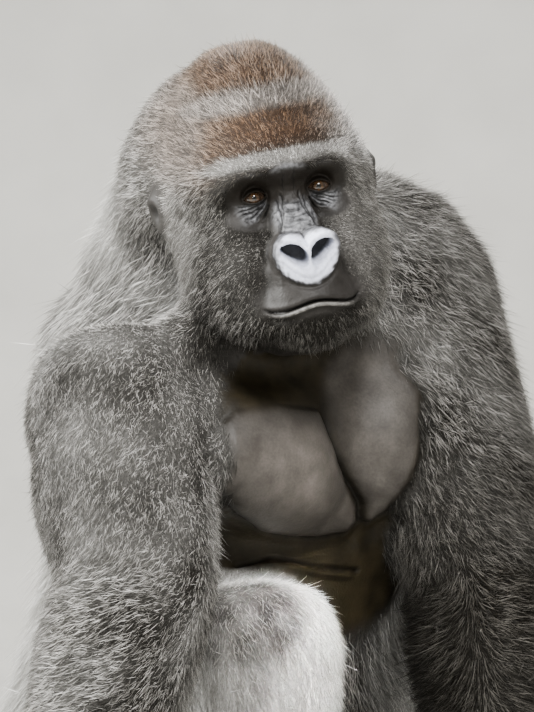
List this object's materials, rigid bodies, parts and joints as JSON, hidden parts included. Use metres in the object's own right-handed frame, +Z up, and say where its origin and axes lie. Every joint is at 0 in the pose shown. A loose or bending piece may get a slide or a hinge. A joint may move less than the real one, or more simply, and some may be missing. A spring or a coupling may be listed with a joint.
{
  "type": "seated gorilla",
  "caption": "Life-size still model of a silverback gorilla that sits on the floor and leans forward on the knuckles of both hands.",
  "frame": {"origin": "on the floor, at the bottom centre of the bounding box", "axes": "+X to the animal's left, -Y the way its chest faces, +Z up"},
  "size_m": [0.97, 0.8366, 1.0817],
  "materials": {
    "coat": "grizzled dark grey hair with light tips, chestnut on the crown",
    "saddle": "silver-grey hair of the back and thighs",
    "skin": "bare black-grey skin with a soft sheen and fine wrinkles",
    "eye": "wet amber-brown eye",
    "nail": "dark horn"
  },
  "bodies": {
    "root": {"head": "coat", "ear_R": "skin", "ear_L": "skin", "eye_R": "eye", "eye_L": "eye", "neck": "coat", "trunk": "coat", "upper_arm_R": "coat", "upper_arm_L": "coat", "forearm_R": "coat", "forearm_L": "coat", "hand_R": "skin", "hand_L": "skin", "thigh_R": "saddle", "thigh_L": "saddle", "shin_R": "coat", "shin_L": "coat", "foot_R": "skin", "foot_L": "skin", "nail_hand_R_1": "nail", "nail_hand_R_2": "nail", "nail_hand_R_3": "nail", "nail_hand_R_4": "nail", "nail_hand_R_5": "nail", "nail_hand_L_1": "nail", "nail_hand_L_2": "nail", "nail_hand_L_3": "nail", "nail_hand_L_4": "nail", "nail_hand_L_5": "nail", "nail_foot_R_1": "nail", "nail_foot_R_2": "nail", "nail_foot_R_3": "nail", "nail_foot_R_4": "nail", "nail_foot_R_5": "nail", "nail_foot_L_1": "nail", "nail_foot_L_2": "nail", "nail_foot_L_3": "nail", "nail_foot_L_4": "nail", "nail_foot_L_5": "nail"}
  },
  "joints": []
}
